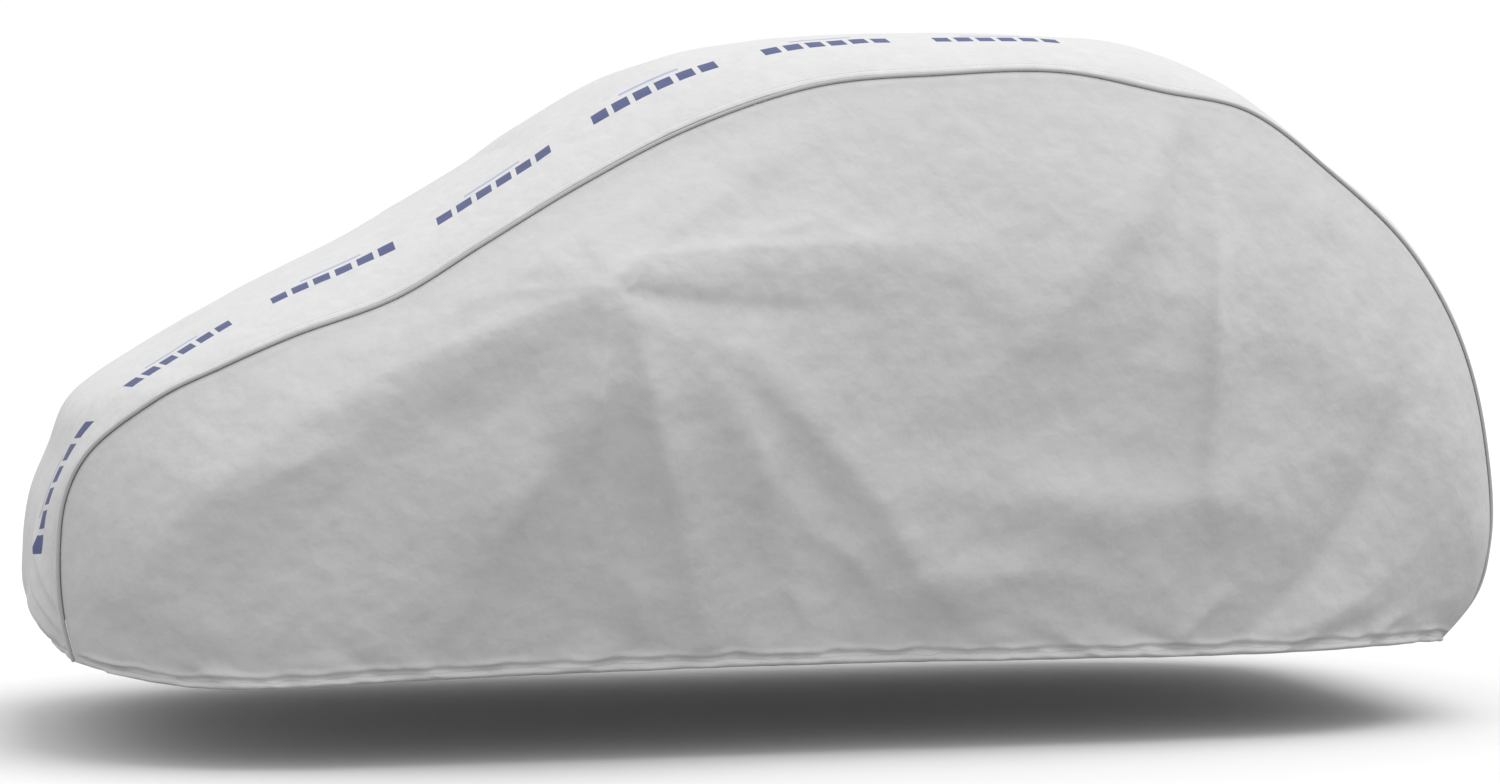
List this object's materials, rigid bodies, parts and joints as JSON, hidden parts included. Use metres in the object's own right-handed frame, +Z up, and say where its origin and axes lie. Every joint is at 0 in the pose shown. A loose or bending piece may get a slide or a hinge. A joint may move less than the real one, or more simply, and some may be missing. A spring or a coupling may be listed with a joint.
{
  "type": "car cover",
  "caption": "Fitted cloth cover for a small hatchback car: a pale centre panel over bonnet, roof and tail between grey side panels, open below inside an elastic hem.",
  "frame": {"origin": "the point on the underside of the cloth at the top of the roof, in the middle of the width, where the cover rests on the car", "axes": "+X towards the tail, -Y the car's left side (the near side in the picture), +Z up; the ground is 1.517 m below the origin"},
  "size_m": [3.2352, 1.846, 1.3559],
  "materials": {
    "centre_cloth": "off-white nonwoven, matt with a soft fibre mottle",
    "side_cloth": "light grey nonwoven, matt with a soft fibre mottle",
    "piping": "mid grey bound seam"
  },
  "bodies": {
    "root": {"centre_panel": "centre_cloth", "side_panel_left": "side_cloth", "side_panel_right": "side_cloth", "piping_left": "piping", "piping_right": "piping"}
  },
  "joints": []
}
